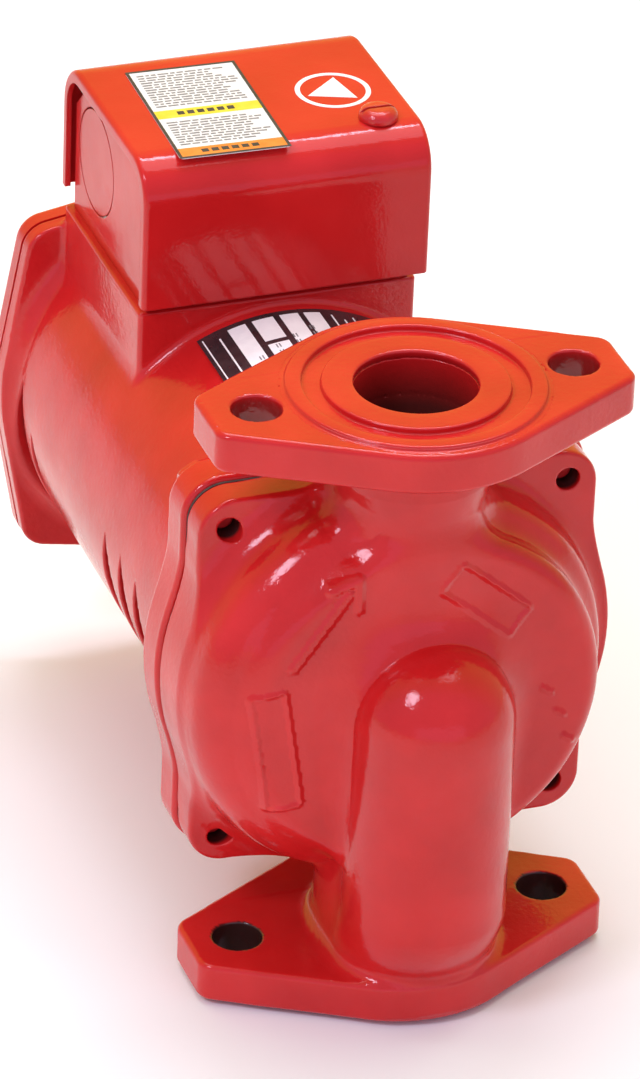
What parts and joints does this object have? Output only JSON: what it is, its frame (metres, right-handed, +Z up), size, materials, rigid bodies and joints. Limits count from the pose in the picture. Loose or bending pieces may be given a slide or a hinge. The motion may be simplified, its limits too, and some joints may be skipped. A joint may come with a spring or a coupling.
{
  "type": "circulator pump",
  "caption": "In-line hot water circulator pump: cast volute between two-bolt pipe flanges, close-coupled motor behind it, and a conduit box with a lift-off cover on top.",
  "frame": {"origin": "centre of the suction flange's gasket face, on the pipe line", "axes": "+Z up the pipe line from suction to discharge flange, +Y back along the shaft from the volute to the motor, +X to the right seen from the volute"},
  "size_m": [0.115, 0.2133, 0.178],
  "materials": {
    "red_casting": "gloss enamel over a cast surface",
    "red_sheet": "gloss enamel over sheet steel",
    "gasket_fibre": "matt",
    "painted_screw": "gloss enamel",
    "zinc_screw": "bright zinc",
    "stainless_steel": "ground",
    "bearing_steel": "polished",
    "impeller_plastic": "glass filled, matt",
    "seal_carbon": "lapped",
    "seal_ceramic": "lapped",
    "black_rubber": "matt",
    "lamination_steel": "varnished",
    "cast_aluminium": "as cast",
    "magnet_wire": "varnished",
    "nameplate": "black anodised with silver boxes",
    "printed_label": "satin film",
    "capacitor_can": "satin",
    "terminal_plastic": "satin",
    "ground_green": "gloss",
    "lead_wire": "satin"
  },
  "bodies": {
    "pump": {"pump_body": "red_casting", "motor_housing": "red_casting", "rear_cover": "red_casting", "conduit_box": "red_sheet", "left_knockout": "red_sheet", "right_knockout": "red_sheet", "body_screws": "painted_screw", "rear_cover_screws": "painted_screw", "body_gasket": "gasket_fibre", "box_screws": "zinc_screw", "terminal_screws": "zinc_screw", "capacitor_strap": "zinc_screw", "seal_seat": "seal_ceramic", "seal_seat_cup": "black_rubber", "lead_bushing": "black_rubber", "front_bearing_outer_ring": "bearing_steel", "rear_bearing_outer_ring": "bearing_steel", "wave_washer": "bearing_steel", "stator_core": "lamination_steel", "windings": "magnet_wire", "nameplate": "nameplate", "capacitor": "capacitor_can", "terminal_block": "terminal_plastic", "ground_screw": "ground_green", "motor_leads": "lead_wire"},
    "rotor": {"shaft": "stainless_steel", "impeller": "impeller_plastic", "impeller_nut": "stainless_steel", "seal_spring": "stainless_steel", "seal_head": "seal_carbon", "water_slinger": "black_rubber", "front_bearing_inner_ring": "bearing_steel", "rear_bearing_inner_ring": "bearing_steel", "rotor_core": "lamination_steel", "rotor_end_rings": "cast_aluminium"},
    "bearing_balls": {"front_bearing_balls": "bearing_steel", "rear_bearing_balls": "bearing_steel"},
    "cover": {"conduit_cover": "red_sheet", "cover_label": "printed_label"},
    "cover_screw": {"cover_screw": "painted_screw"}
  },
  "joints": [
    {"name": "rotor_spin", "type": "hinge", "parent": "pump", "child": "rotor", "pos_m": [0, 0, 0.08095], "axis": [0, 1, 0], "continuous": true},
    {"name": "ball_orbit", "type": "hinge", "parent": "pump", "child": "bearing_balls", "pos_m": [0, 0, 0.08095], "axis": [0, 1, 0], "continuous": true},
    {"name": "cover_lift", "type": "slide", "parent": "pump", "child": "cover", "axis": [0, 0, 1], "range_m": [0, 0.06]},
    {"name": "cover_screw_travel", "type": "slide", "parent": "cover", "child": "cover_screw", "axis": [0, 0, 1], "range_m": [0, 0.02]}
  ],
  "couplings": [
    {"joint": "ball_orbit", "follows": "rotor_spin", "ratio": 0.368}
  ]
}
